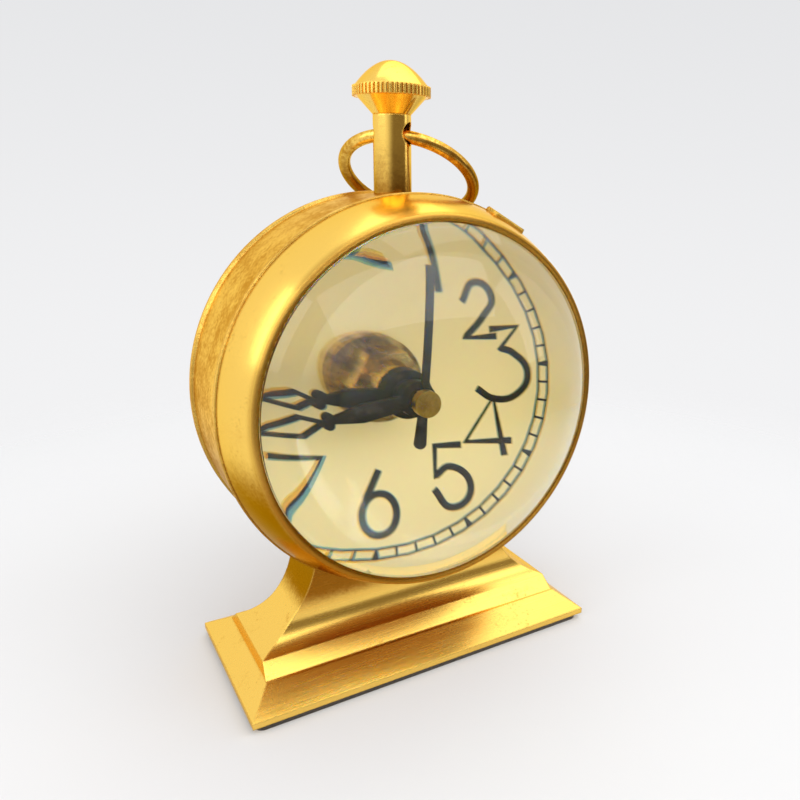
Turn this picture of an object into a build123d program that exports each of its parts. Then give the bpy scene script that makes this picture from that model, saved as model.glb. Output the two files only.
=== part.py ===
"""Desk clock: a brass drum on a stepped pedestal, with a hinged magnifying front and a quartz movement.

X runs to the right, Y to the back and Z up. The origin is the centre of the face that the pad rests on.
"""
import os
from math import asin, cos, degrees, radians, sin, sqrt

from build123d import *

# Pad and pedestal
pad_height = 1.5
pad_inset = 0.8
pad_corner = 2.0
base_inset = 0.9
base_depth = 42.0
base_edge = 1.3
tier_inset = 4.65
tier_depth = 29.4
tier_height = 4.8
end_ledge = 0.2
front_ledge = 0.7
shoulder_inset = 0.6
shoulder_depth = 21.6
shoulder_height = 7.6
cove_run = 12.95
end_cove_radius = 19.7
front_cove_radius = 6.5
waist_depth = 13.2
neck_depth = 16.0
neck_height = 24.5
cradle_height = 18.9

# Screws from inside the drum that hold it on the pedestal
base_screw_radius = 1.5
base_screw_head = 2.5
base_screw_head_height = 1.8
base_screw_bite = 12.0
base_screw_spread = 12.5
base_screw_depth = 2.3

# Drum band, dial and back cover
band_radius = 42.5
band_wall = 1.2
band_front = -11.9
band_back = 10.4
bead_rise = 0.5
front_bead_width = 1.4
rear_bead_width = 1.6
dial_front = -3.0
dial_thickness = 0.8
dial_edge_gap = 0.1
dial_ring_width = 2.4
dial_ring_thickness = 1.5
dial_screw_count = 3
dial_screw_radius = 0.6
dial_screw_head = 1.1
dial_screw_head_height = 0.6
cover_wall = 0.9
cover_skirt_depth = 5.0
cover_flange_step = 0.6
cover_flange_thickness = 0.8
cover_pan_step = 0.7
cover_pan_depth = 5.4
cover_corner = 3.0
cover_crown = 2.2
cover_skirt_gap = 0.05
reed_count = 72
reed_width = 0.9
reed_depth = 0.35
bayonet_count = 3
bayonet_start = 60.0
bayonet_turn = 25.0
bayonet_pin_radius = 0.8
bayonet_pin_reach = 1.2
bayonet_pin_depth = 8.1
bayonet_gap = 0.1

# Bezel, lens and lens ring
bezel_step = 0.25
bezel_depth = 11.0
bezel_belly = 0.34
bezel_seam = 0.1
lip_draw = 3.55
lip_round = 0.8
lip_rim = 1.65
lip_thickness = 1.1
spigot_depth = 2.4
spigot_wall = 0.95
spigot_gap = 0.15
lens_face_radius = 52.0
lens_back_radius = 250.0
lens_opening_gap = 0.15
lens_flange_step = 0.8
lens_flange_thickness = 1.9
lens_edge_rise = 1.0
lens_pocket_gap = 0.1
lens_ring_thickness = 1.25
bezel_flare = 1.5

# Hinge between the drum and the bezel, at an angle clockwise from the top
hinge_angle = 29.0
hinge_rise = 0.2
knuckle_radius = 0.9
hinge_length = 8.4
bezel_knuckle_length = 2.6
knuckle_gap = 0.15
hinge_notch_gap = 0.2
hinge_pin_radius = 0.45
leaf_thickness = 0.8
case_leaf_reach = 5.0
hinge_seat_depth = 0.1
bezel_leaf_reach = 3.7

# Pendant stem, crown and bow
stem_radius = 4.1
stem_height = 16.4
stem_screw_radius = 1.5
stem_screw_head = 2.0
stem_screw_head_height = 1.4
stem_screw_bite = 8.0
stem_screw_relief = 0.4
bow_hole_radius = 2.45
bow_hole_inset = 3.9
bow_drop = 0.2
bow_radius = 15.2
bow_wire = 1.4
bow_turn = -44.4
bow_skew = -2.5
bow_lean = 55.4
crown_cone_radius = 7.4
crown_cone_height = 3.6
crown_knurl_radius = 8.33
crown_knurl_height = 2.1
crown_dome_radius = 7.9
crown_dome_height = 5.3
crown_slot_count = 54
crown_slot_width = 0.45
crown_slot_depth = 0.6
stud_radius = 1.5
stud_depth = 1.2
stud_reach = 4.0

# Movement case and what holds it to the dial, a little below the drum's axis
movement_drop = 1.0
movement_size = 56.0
movement_corner = 4.0
movement_depth = 15.2
movement_wall = 0.8
movement_floor = 1.2
lid_thickness = 1.0
bay_wall_height = -9.8
bay_wall = 1.0
rubber_thickness = 0.6
rubber_radius = 7.0
bush_radius = 4.0
bush_front = -8.0
bush_flange_radius = 5.0
bush_flange_thickness = 0.6
bush_washer_radius = 6.6
bush_washer_thickness = 0.8
bush_nut_flats = 10.0
bush_nut_height = 2.2
mid_plate_width = 40.0
mid_plate_bottom = -8.5
mid_plate_top = 18.5
mid_plate_thickness = 0.5
post_radius = 1.3
lid_post_radius = 1.9
lid_post_inset = 3.6
lid_screw_radius = 0.75
lid_screw_head = 1.6
lid_screw_head_height = 0.8
lid_screw_length = 6.0

# Arbors and hands
hour_pipe_radius = 2.55
hour_pipe_front = -9.25
minute_arbor_radius = 1.8
minute_arbor_front = -11.6
second_arbor_radius = 0.5
second_arbor_front = -13.0
train_arbor_radius = 0.5
running_gap = 0.05
hour_angle = 270.0
minute_angle = 260.7
second_angle = 7.0
hour_hand_front = -9.3
hour_hand_thickness = 0.6
hour_hub_radius = 4.0
hour_hub_height = 1.1
hour_knob_reach = 13.7
hour_tip_reach = 22.2
hour_loop_width = 3.2
minute_hand_front = -11.4
minute_hand_thickness = 0.5
minute_hub_radius = 3.0
minute_hub_height = 1.2
minute_knob_reach = 15.0
minute_tip_reach = 27.6
minute_loop_width = 4.0
hand_body_width = 3.0
hand_root_width = 2.2
hand_knob_radius = 0.75
hand_loop_strip = 0.75
hand_belly_share = 0.55
hand_loop_share = 0.35
hand_tip_share = 0.2
second_hand_front = -12.7
second_hand_thickness = 0.4
second_tip_reach = 23.0
second_tail_reach = 8.0
second_tip_width = 1.2
second_tail_width = 2.0
second_hub_radius = 1.5
cap_radius = 2.3
cap_height = 0.9

# Gear train: teeth, modules and places of the arbors in the dial plane
cannon_teeth = 12
minute_wheel_teeth = 36
hour_module = 0.4
hour_pinion_teeth = 10
hour_wheel_teeth = 40
setting_bearing = 180.0
centre_teeth = 60
third_pinion_teeth = 8
centre_module = 0.25
third_bearing = 30.0
third_teeth = 64
second_pinion_teeth = 8
second_teeth = 60
second_module = 0.25
intermediate_pinion_teeth = 10
intermediate_bearing = 110.0
intermediate_teeth = 40
rotor_pinion_teeth = 8
rotor_module = 0.25
rotor_bearing = 110.0
tooth_tip = 0.55
tooth_root = 1.0
wheel_root_share = 0.50
wheel_tip_share = 0.16
pinion_root_share = 0.44
pinion_tip_share = 0.18
pinion_limit = 12
hour_wheel_back = 1.2
hour_wheel_thickness = 1.2
cannon_back = 3.6
cannon_thickness = 1.4
centre_back = 5.4
centre_thickness = 1.0
third_back = 7.4
third_thickness = 1.0
second_back = 9.6
second_thickness = 1.0
intermediate_back = 11.4
intermediate_thickness = 0.8
mesh_overhang = 0.25
rotor_magnet_radius = 1.4
rotor_magnet_front = 7.9
rotor_magnet_length = 1.6
knob_radius = 4.5
knob_height = 2.0
knob_gap = 0.2
knob_slot_count = 18
knob_slot_width = 0.7

# Electrical pieces
stator_thickness = 0.8
stator_half_length = 14.0
stator_leg_width = 4.0
stator_bar_height = 5.0
stator_hole_gap = 0.4
coil_radius = 3.2
coil_core_gap = 0.1
coil_length = 15.0
coil_core_height = 1.6
coil_rise = 7.6
board_width = 9.6
board_height = 24.0
board_thickness = 1.0
board_front = 6.0
quartz_radius = 1.5
quartz_length = 6.0
cell_radius = 7.1
cell_length = 49.2
cell_nub_radius = 2.7
cell_nub_length = 1.0
cell_floor_gap = 0.2
contact_thickness = 0.4
contact_height = 11.0
contact_depth = 9.0
contact_boss_radius = 2.2
contact_spring_rise = 2.4

# Small gap between pieces that are pressed or clamped together
seat_gap = 0.02

# Places worked out from the sizes above
pad_top = pad_height
drum_z = pad_top + cradle_height + band_radius
hands_z = drum_z - movement_drop
base_length = 2 * (band_radius - base_inset)
tier_length = base_length - 2 * tier_inset
shoulder_length = tier_length - 2 * shoulder_inset
neck_width = shoulder_length - 2 * cove_run
band_bore = band_radius - band_wall
bead_radius = band_radius + bead_rise
cover_flange_radius = band_bore + cover_flange_step
cover_pan_radius = band_bore - cover_pan_step
bezel_radius = band_radius + bezel_step
lip_radius = bezel_radius - lip_draw
lip_opening = lip_radius - lip_rim
lens_flange_radius = lip_opening + lens_flange_step
hinge_radius = band_radius + hinge_rise
stem_foot = drum_z + band_radius
stem_top = stem_foot + stem_height
bow_hole_height = stem_top - bow_hole_inset
dial_back = dial_front + dial_thickness
dial_ring_back = dial_back + dial_ring_thickness
dial_ring_bore = band_bore - dial_ring_width
movement_front_face = dial_back + rubber_thickness
floor_inside = movement_front_face + movement_floor
movement_back_face = movement_front_face + movement_depth
lid_back = movement_back_face + lid_thickness
movement_inside = movement_size / 2 - movement_wall
bezel_back = band_front - bezel_seam
bezel_front = bezel_back - bezel_depth
lens_seat = bezel_front + lip_thickness
lens_edge = lip_opening - lens_opening_gap
lens_front_edge = lens_seat - lens_edge_rise
lens_flange_back = lens_seat + lens_flange_thickness
lens_pocket = lens_flange_radius + lens_pocket_gap
lens_sag = lens_face_radius - sqrt(lens_face_radius**2 - lens_edge**2)
lens_back_sag = lens_back_radius - sqrt(lens_back_radius**2 - lens_edge**2)
lens_apex = lens_front_edge - lens_sag
lens_back_apex = lens_flange_back + lens_back_sag
lens_ring_back = lens_flange_back + seat_gap + lens_ring_thickness
hinge_y = (band_front + bezel_back) / 2
knuckle_clear = knuckle_radius + hinge_notch_gap
bow_pivot = bow_hole_height - bow_drop
screw_end_gap = 0.5

# Height of the axis that front planes are centred on: the drum's first, the hands' later
axis_z = drum_z
side_plane = Plane(origin=(0, 0, drum_z), x_dir=(0, 1, 0), z_dir=(1, 0, 0))
drum_axis = Axis((0, 0, drum_z), (0, 1, 0))


def polar(radius, bearing):
    """Point of the dial plane at a radius, with the bearing counter-clockwise from +X in degrees."""
    return (radius * cos(radians(bearing)), radius * sin(radians(bearing)))


def front_plane(depth):
    """Plane facing the viewer at a depth along Y, centred on the axis in use."""
    return Plane(origin=(0, depth, axis_z), x_dir=(1, 0, 0), z_dir=(0, -1, 0))


def hand_plane(depth, angle):
    """Front plane turned so that its local Y runs along a hand at a clock angle."""
    turn = radians(angle)
    return Plane(origin=(0, depth, hands_z), x_dir=(cos(turn), 0, -sin(turn)), z_dir=(0, -1, 0))


def disc(front, back, radius, at=(0, 0), mode=Mode.ADD):
    """Add or cut a cylinder along the axis in use, between two depths."""
    with BuildSketch(front_plane(back)) as face:
        with Locations(at):
            Circle(radius)
    extrude(face.sketch, amount=back - front, mode=mode)


def plate(front, back, width, height, at=(0, 0), corner=0.0, mode=Mode.ADD):
    """Add or cut a plate parallel to the dial, with rounded corners if a radius is given."""
    with BuildSketch(front_plane(back)) as face:
        with Locations(at):
            if corner > 0:
                RectangleRounded(width, height, corner)
            else:
                Rectangle(width, height)
    extrude(face.sketch, amount=back - front, mode=mode)


def upright(bottom, top, radius, mode=Mode.ADD):
    """Add or cut a cylinder on the Z axis."""
    with BuildSketch(Plane.XY.offset(bottom)) as face:
        Circle(radius)
    extrude(face.sketch, amount=top - bottom, mode=mode)


def spoke(start, end, radius, bearing, depth, mode=Mode.ADD):
    """Add or cut a cylinder on a radius of the drum, with the bearing clockwise from the top."""
    turn = radians(bearing)
    outward = Vector(sin(turn), 0, cos(turn))
    centre = Vector(0, depth, drum_z) + outward * start
    with BuildSketch(Plane(origin=centre, x_dir=(0, 1, 0), z_dir=outward)) as face:
        Circle(radius)
    extrude(face.sketch, amount=end - start, mode=mode)


def gear(front, back, teeth, module, phase, at=(0, 0)):
    """Add a spur gear with one tooth centred on the bearing called phase."""
    pinion = teeth <= pinion_limit
    root_share = pinion_root_share if pinion else wheel_root_share
    tip_share = pinion_tip_share if pinion else wheel_tip_share
    pitch = 360 / teeth
    root = module * (teeth / 2 - tooth_root)
    tip = module * (teeth / 2 + tooth_tip)
    corners = []
    for tooth in range(teeth):
        middle = phase + tooth * pitch
        corners.append(polar(root, middle - root_share * pitch / 2))
        corners.append(polar(tip, middle - tip_share * pitch / 2))
        corners.append(polar(tip, middle + tip_share * pitch / 2))
        corners.append(polar(root, middle + root_share * pitch / 2))
    with BuildSketch(front_plane(back)) as face:
        with Locations(at):
            Polygon(*corners, align=None)
    extrude(face.sketch, amount=back - front)


def meshing_phase(bearing, teeth):
    """Phase of a gear that turns a gap to a partner whose tooth lies on the bearing."""
    return bearing + 180 + 180 / teeth


# Pad under the base
with BuildPart() as base_pad:
    with BuildSketch(Plane.XY):
        RectangleRounded(base_length - 2 * pad_inset, base_depth - 2 * pad_inset, pad_corner)
    extrude(amount=pad_height)

# Pedestal: an end outline crossed with a front outline gives the mitred tiers and the coved neck
edge_z = pad_top + base_edge
tier_z = pad_top + tier_height
shoulder_z = pad_top + shoulder_height
cove_rise = sqrt(end_cove_radius**2 - (end_cove_radius - cove_run)**2)
cove_top = shoulder_z + cove_rise
cove_sweep = degrees(asin(cove_rise / end_cove_radius))
waist_run = (shoulder_depth - waist_depth) / 2
waist_rise = sqrt(front_cove_radius**2 - (front_cove_radius - waist_run)**2)
waist_z = shoulder_z + waist_rise
waist_sweep = degrees(asin(waist_rise / front_cove_radius))
neck_z = pad_top + neck_height
neck_end = drum_z - band_radius / 2
base_screw_bearings = (180 - base_screw_spread, 180 + base_screw_spread)
with BuildPart() as base_pedestal:
    with BuildSketch(Plane.XZ):
        with BuildLine():
            Polyline(
                (0, pad_top),
                (base_length / 2, pad_top),
                (base_length / 2, edge_z),
                (tier_length / 2, tier_z),
                (tier_length / 2 - end_ledge, tier_z),
                (shoulder_length / 2, shoulder_z),
            )
            CenterArc((neck_width / 2 + end_cove_radius, cove_top), end_cove_radius, 180, cove_sweep)
            Polyline((neck_width / 2, cove_top), (neck_width / 2, neck_end), (0, neck_end))
            mirror(about=Plane.YZ)
        make_face()
    extrude(amount=base_depth, both=True)
    with BuildSketch(Plane.YZ):
        with BuildLine():
            Polyline(
                (0, pad_top),
                (base_depth / 2, pad_top),
                (base_depth / 2, edge_z),
                (tier_depth / 2, tier_z),
                (tier_depth / 2 - front_ledge, tier_z),
                (shoulder_depth / 2, shoulder_z),
            )
            CenterArc((waist_depth / 2 + front_cove_radius, waist_z), front_cove_radius, 180, waist_sweep)
            TangentArc((waist_depth / 2, waist_z), (neck_depth / 2, neck_z), tangent=(0, 1))
            Polyline((neck_depth / 2, neck_z), (neck_depth / 2, neck_end), (0, neck_end))
            mirror(about=Plane.YZ)
        make_face()
    extrude(amount=base_length, both=True, mode=Mode.INTERSECT)
    disc(-base_depth, base_depth, band_radius + seat_gap, mode=Mode.SUBTRACT)
    for bearing in base_screw_bearings:
        spoke(
            band_bore,
            band_radius + base_screw_bite + screw_end_gap,
            base_screw_radius + seat_gap,
            bearing,
            base_screw_depth,
            mode=Mode.SUBTRACT,
        )

# Screws that clamp the band down into the pedestal's cradle
base_screw_seat = sqrt(band_bore**2 - base_screw_head**2) - seat_gap
with BuildPart() as base_screws:
    for bearing in base_screw_bearings:
        spoke(
            base_screw_seat - base_screw_head_height,
            base_screw_seat,
            base_screw_head,
            bearing,
            base_screw_depth,
        )
        spoke(
            base_screw_seat,
            band_radius + base_screw_bite,
            base_screw_radius,
            bearing,
            base_screw_depth,
        )

# Hinge frame: local X runs to the back, local Y runs outward from the drum's axis
hinge_turn = radians(hinge_angle)
hinge_plane = Plane(
    origin=(0, 0, drum_z),
    x_dir=(0, 1, 0),
    z_dir=(cos(hinge_turn), 0, -sin(hinge_turn)),
)
hinge_half = hinge_length / 2
bezel_knuckle_half = bezel_knuckle_length / 2
case_knuckle_start = bezel_knuckle_half + knuckle_gap
hinge_cut_half = hinge_half + hinge_notch_gap
hinge_seat = sqrt(band_radius**2 - hinge_cut_half**2) - hinge_seat_depth
case_leaf_back = hinge_y + case_leaf_reach


def knuckle(start, end, radius, mode=Mode.ADD):
    """Add or cut a cylinder on the hinge axis between two places along it."""
    with BuildSketch(hinge_plane.offset(start)) as face:
        with Locations((hinge_y, hinge_radius)):
            Circle(radius)
    extrude(face.sketch, amount=end - start, mode=mode)


def leaf(start, end, corners, mode=Mode.ADD):
    """Add or cut a hinge plate with this outline, between two places along the hinge axis."""
    with BuildSketch(hinge_plane.offset(start)) as face:
        Polygon(*corners, align=None)
    extrude(face.sketch, amount=end - start, mode=mode)


# Drum band with a raised bead at each edge, pins for the back cover, and holes for the screws
bayonet_bearings = [bayonet_start + n * 360 / bayonet_count for n in range(bayonet_count)]
with BuildPart() as case_band:
    with BuildSketch(side_plane):
        with BuildLine():
            Polyline(
                (band_front, band_bore),
                (band_front, bead_radius),
                (band_front + front_bead_width, bead_radius),
                (band_front + front_bead_width, band_radius),
                (band_back - rear_bead_width, band_radius),
                (band_back - rear_bead_width, bead_radius),
                (band_back, bead_radius),
                (band_back, band_bore),
                close=True,
            )
        make_face()
    revolve(axis=drum_axis)
    upright(drum_z, drum_z + 2 * band_radius, stem_screw_radius + running_gap, mode=Mode.SUBTRACT)
    for bearing in base_screw_bearings:
        spoke(
            band_bore / 2,
            2 * band_radius,
            base_screw_radius + running_gap,
            bearing,
            base_screw_depth,
            mode=Mode.SUBTRACT,
        )
    for bearing in bayonet_bearings:
        spoke(
            band_bore - bayonet_pin_reach,
            band_bore + band_wall / 2,
            bayonet_pin_radius,
            bearing,
            bayonet_pin_depth,
        )
    knuckle(-hinge_cut_half, hinge_cut_half, knuckle_clear, mode=Mode.SUBTRACT)
    leaf(
        -hinge_cut_half,
        hinge_cut_half,
        (
            (bezel_back, hinge_seat),
            (case_leaf_back + hinge_notch_gap, hinge_seat),
            (case_leaf_back + hinge_notch_gap, bead_radius + leaf_thickness),
            (bezel_back, bead_radius + leaf_thickness),
        ),
        mode=Mode.SUBTRACT,
    )

# Ledge ring inside the band, the dial on it and the dial's screws
dial_screw_circle = (dial_ring_bore + band_bore) / 2
dial_screw_pitch = 360 / dial_screw_count
dial_screw_places = [polar(dial_screw_circle, n * dial_screw_pitch - 90) for n in range(dial_screw_count)]
with BuildPart() as dial_ring:
    disc(dial_back, dial_ring_back, band_bore - seat_gap)
    disc(dial_back, dial_ring_back, dial_ring_bore, mode=Mode.SUBTRACT)
    plate(
        dial_back,
        dial_ring_back,
        2 * (stem_screw_head + stem_screw_relief),
        band_bore,
        at=(0, band_bore),
        mode=Mode.SUBTRACT,
    )
    for place in dial_screw_places:
        disc(dial_back, dial_ring_back, dial_screw_radius + seat_gap, place, mode=Mode.SUBTRACT)

with BuildPart() as dial_plate:
    disc(dial_front, dial_back, band_bore - dial_edge_gap)
    disc(dial_front, dial_back, bush_radius + running_gap, (0, -movement_drop), mode=Mode.SUBTRACT)
    for place in dial_screw_places:
        disc(dial_front, dial_back, dial_screw_radius + seat_gap, place, mode=Mode.SUBTRACT)

with BuildPart() as dial_screws:
    for place in dial_screw_places:
        disc(dial_front - dial_screw_head_height, dial_front, dial_screw_head, place)
        disc(dial_front, dial_ring_back, dial_screw_radius, place)

# Back cover: a shallow pan with a reeded flange, whose slotted skirt turns on the band's pins
cover_flange_back = band_back + cover_flange_thickness
cover_pan_back = cover_flange_back + cover_pan_depth
cover_skirt = band_bore - cover_skirt_gap
cover_skirt_front = band_back - cover_skirt_depth
slot_half = bayonet_pin_radius + bayonet_gap
slot_sweep = degrees(asin(slot_half / (cover_skirt - cover_wall)))
slot_front = bayonet_pin_depth - slot_half
slot_back = bayonet_pin_depth + slot_half


def skirt_slot(front, back, start, sweep):
    """Cut a slot through the cover's skirt, from a clockwise bearing over a sweep in degrees."""
    turn = radians(start)
    with BuildSketch(Plane(origin=(0, 0, drum_z), x_dir=(0, 1, 0), z_dir=(cos(turn), 0, -sin(turn)))) as face:
        with Locations(((front + back) / 2, cover_skirt - cover_wall / 2)):
            Rectangle(back - front, 2 * cover_wall)
    revolve(face.sketch, axis=drum_axis, revolution_arc=sweep, mode=Mode.SUBTRACT)


with BuildPart() as back_cover:
    with BuildSketch(side_plane):
        with BuildLine():
            Polyline(
                (cover_skirt_front, cover_skirt - cover_wall),
                (cover_skirt_front, cover_skirt),
                (band_back, cover_skirt),
                (band_back, cover_flange_radius),
                (cover_flange_back, cover_flange_radius),
                (cover_flange_back, cover_pan_radius),
                (cover_pan_back - cover_corner, cover_pan_radius),
            )
            RadiusArc(
                (cover_pan_back - cover_corner, cover_pan_radius),
                (cover_pan_back, cover_pan_radius - cover_corner),
                cover_corner,
            )
            Polyline(
                (cover_pan_back, cover_pan_radius - cover_corner),
                (cover_pan_back + cover_crown, 0),
                (cover_pan_back + cover_crown - cover_wall, 0),
                (cover_pan_back - cover_wall, cover_pan_radius - cover_corner),
            )
            RadiusArc(
                (cover_pan_back - cover_wall, cover_pan_radius - cover_corner),
                (cover_pan_back - cover_corner, cover_pan_radius - cover_wall),
                -(cover_corner - cover_wall),
            )
            Polyline(
                (cover_pan_back - cover_corner, cover_pan_radius - cover_wall),
                (cover_flange_back, cover_pan_radius - cover_wall),
                (band_back, cover_skirt - cover_wall),
                (cover_skirt_front, cover_skirt - cover_wall),
            )
        make_face()
    revolve(axis=drum_axis)
    with BuildSketch(front_plane(cover_flange_back)):
        with PolarLocations(cover_flange_radius, reed_count):
            Rectangle(2 * reed_depth, reed_width)
    extrude(amount=cover_flange_thickness, mode=Mode.SUBTRACT)
    for bearing in bayonet_bearings:
        entry = bearing - bayonet_turn - slot_sweep
        skirt_slot(slot_front, slot_back, entry, bayonet_turn + 2 * slot_sweep)
        skirt_slot(cover_skirt_front - bayonet_gap, slot_back, entry, 2 * slot_sweep)

# Bezel: a belled ring that holds the lens from behind its lip and plugs into the band
lip_side = bezel_front + lip_round
belly_y = (bezel_back + lip_side) / 2
belly_radius = (bezel_radius + lip_radius) / 2 + bezel_belly
spigot_radius = band_bore - spigot_gap
spigot_bore = spigot_radius - spigot_wall
spigot_back = bezel_back + spigot_depth
with BuildPart() as bezel_ring:
    with BuildSketch(side_plane):
        with BuildLine():
            ThreePointArc((bezel_back, bezel_radius), (belly_y, belly_radius), (lip_side, lip_radius))
            RadiusArc((lip_side, lip_radius), (bezel_front, lip_radius - lip_round), -lip_round)
            Line((bezel_front, lip_radius - lip_round), (bezel_front, lip_opening + lip_round))
            RadiusArc((bezel_front, lip_opening + lip_round), (lip_side, lip_opening), -lip_round)
            Polyline(
                (lip_side, lip_opening),
                (lens_seat, lip_opening),
                (lens_seat, lens_pocket),
                (lens_ring_back, lens_pocket),
                (lens_ring_back + bezel_flare, spigot_bore),
                (spigot_back, spigot_bore),
                (spigot_back, spigot_radius),
                (bezel_back, spigot_radius),
                (bezel_back, bezel_radius),
            )
        make_face()
    revolve(axis=drum_axis)
    knuckle(-hinge_cut_half, hinge_cut_half, knuckle_clear, mode=Mode.SUBTRACT)

# Thick convex lens with a flange behind the bezel's lip, and the ring that traps it
with BuildPart() as lens:
    disc(lens_apex, lens_back_apex, lens_edge)
    with Locations((0, lens_apex + lens_face_radius, drum_z)):
        Sphere(lens_face_radius, mode=Mode.INTERSECT)
    with Locations((0, lens_back_apex - lens_back_radius, drum_z)):
        Sphere(lens_back_radius, mode=Mode.INTERSECT)
    disc(lens_seat + seat_gap, lens_flange_back, lens_flange_radius)

with BuildPart() as lens_ring:
    disc(lens_flange_back + seat_gap, lens_ring_back, lens_pocket - seat_gap)
    disc(lens_flange_back, lens_ring_back, lens_edge + seat_gap, mode=Mode.SUBTRACT)

# Hinge leaves and pin: one leaf lies on a flat milled on the band, the other on the bezel's side
case_leaf_foot = hinge_seat + seat_gap
case_leaf_top = case_leaf_foot + leaf_thickness
with BuildPart() as hinge_case_leaf:
    leaf(
        -hinge_half,
        hinge_half,
        (
            (hinge_y, case_leaf_foot),
            (case_leaf_back, case_leaf_foot),
            (case_leaf_back, case_leaf_top),
            (hinge_y, case_leaf_top),
        ),
    )
    for start, end in ((-hinge_half, -case_knuckle_start), (case_knuckle_start, hinge_half)):
        knuckle(start, end, knuckle_radius)
    knuckle(-case_knuckle_start, case_knuckle_start, knuckle_clear, mode=Mode.SUBTRACT)
    knuckle(-hinge_half, hinge_half, hinge_pin_radius + seat_gap, mode=Mode.SUBTRACT)

bezel_slope = (bezel_radius - lip_radius) / (bezel_depth - lip_round)
bezel_leaf_front = hinge_y - bezel_leaf_reach
bezel_leaf_drop = bezel_slope * bezel_leaf_reach - bezel_belly
bezel_leaf_wide = hinge_y - knuckle_clear - hinge_notch_gap
bezel_leaf_top = bezel_radius + leaf_thickness
with BuildPart() as hinge_bezel_leaf:
    leaf(
        -bezel_knuckle_half,
        bezel_knuckle_half,
        (
            (hinge_y, hinge_radius),
            (hinge_y, hinge_radius + knuckle_radius),
            (bezel_leaf_front, bezel_leaf_top - bezel_leaf_drop),
            (bezel_leaf_front, lip_radius),
            (bezel_leaf_wide, lip_radius),
            (bezel_leaf_wide, hinge_radius),
        ),
    )
    leaf(
        -hinge_half,
        hinge_half,
        (
            (bezel_leaf_wide, lip_radius),
            (bezel_leaf_wide, bezel_leaf_top - bezel_leaf_drop / 2),
            (bezel_leaf_front, bezel_leaf_top - bezel_leaf_drop),
            (bezel_leaf_front, lip_radius),
        ),
    )
    knuckle(-bezel_knuckle_half, bezel_knuckle_half, knuckle_radius)
    knuckle(-bezel_knuckle_half, bezel_knuckle_half, hinge_pin_radius + running_gap, mode=Mode.SUBTRACT)
    with BuildSketch(side_plane):
        with BuildLine():
            ThreePointArc((bezel_back, bezel_radius), (belly_y, belly_radius), (lip_side, lip_radius))
            Polyline(
                (lip_side, lip_radius),
                (lip_side, 0),
                (bezel_leaf_wide, 0),
                (bezel_leaf_wide, bezel_radius / 2),
                (bezel_back - knuckle_clear, bezel_radius / 2),
                (bezel_back, bezel_radius / 2),
                (bezel_back, bezel_radius),
            )
        make_face()
    revolve(axis=drum_axis, mode=Mode.SUBTRACT)
    knuckle(-bezel_knuckle_half, bezel_knuckle_half, knuckle_radius)
    knuckle(-bezel_knuckle_half, bezel_knuckle_half, hinge_pin_radius + running_gap, mode=Mode.SUBTRACT)

with BuildPart() as hinge_pin:
    knuckle(-hinge_half, hinge_half, hinge_pin_radius)

# Pendant stem on top of the drum, with a cross hole for the bow and a screw from inside the band
stem_screw_seat = drum_z + sqrt(band_bore**2 - stem_screw_head**2) - seat_gap
with BuildPart() as pendant_stem:
    upright(drum_z, stem_top, stem_radius)
    disc(-2 * stem_radius, 2 * stem_radius, band_radius + seat_gap, mode=Mode.SUBTRACT)
    upright(
        drum_z,
        stem_foot + stem_screw_bite + screw_end_gap,
        stem_screw_radius + seat_gap,
        mode=Mode.SUBTRACT,
    )
    bow_bearing = radians(bow_turn)
    with BuildSketch(
        Plane(
            origin=(0, 0, bow_hole_height),
            x_dir=(0, 0, 1),
            z_dir=(cos(bow_bearing), sin(bow_bearing), 0),
        )
    ):
        Circle(bow_hole_radius)
    extrude(amount=2 * stem_radius, both=True, mode=Mode.SUBTRACT)
    upright(stem_top - stud_depth, stem_top, stud_radius + seat_gap, mode=Mode.SUBTRACT)

with BuildPart() as stem_screw:
    upright(stem_screw_seat - stem_screw_head_height, stem_screw_seat, stem_screw_head)
    upright(stem_screw_seat, stem_foot + stem_screw_bite, stem_screw_radius)

# Crown: a cone under a knurled rim and a round dome, screwed on a stud
knurl_bottom = stem_top + crown_cone_height
knurl_top = knurl_bottom + crown_knurl_height
crown_top = knurl_top + crown_dome_height
with BuildPart() as crown_stud:
    upright(stem_top - stud_depth + seat_gap, stem_top + stud_reach, stud_radius)

with BuildPart() as crown:
    with BuildSketch(Plane.XZ):
        with BuildLine():
            Polyline(
                (0, stem_top + seat_gap),
                (stem_radius, stem_top + seat_gap),
                (crown_cone_radius, knurl_bottom),
                (crown_knurl_radius, knurl_bottom),
                (crown_knurl_radius, knurl_top),
                (crown_dome_radius, knurl_top),
            )
            Bezier((crown_dome_radius, knurl_top), (crown_dome_radius / 2, crown_top), (0, crown_top))
            Line((0, crown_top), (0, stem_top + seat_gap))
        make_face()
    revolve(axis=Axis.Z)
    with BuildSketch(Plane.XY.offset(knurl_bottom)):
        with PolarLocations(crown_knurl_radius, crown_slot_count):
            Rectangle(2 * crown_slot_depth, crown_slot_width)
    extrude(amount=crown_knurl_height, mode=Mode.SUBTRACT)
    upright(stem_top, stem_top + stud_reach + seat_gap, stud_radius + seat_gap, mode=Mode.SUBTRACT)

# Bow: a wire ring through the stem's cross hole, leaning back on the band's rear edge
skew = radians(bow_skew)
lean = radians(bow_lean)
bow_axis = Vector(cos(bow_bearing) * cos(skew), sin(bow_bearing) * cos(skew), sin(skew))
bow_back = Vector(-sin(bow_bearing), cos(bow_bearing), 0)
bow_up = bow_axis.cross(bow_back)
bow_hang = bow_back * sin(lean) - bow_up * cos(lean)
bow_centre = Vector(0, 0, bow_pivot) + bow_hang * bow_radius
with BuildPart(Plane(origin=bow_centre, x_dir=bow_axis, z_dir=bow_axis.cross(bow_hang))) as bow_ring:
    Torus(bow_radius, bow_wire)

# The movement and the hands stand on their own axis from here on
axis_z = hands_z

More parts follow.
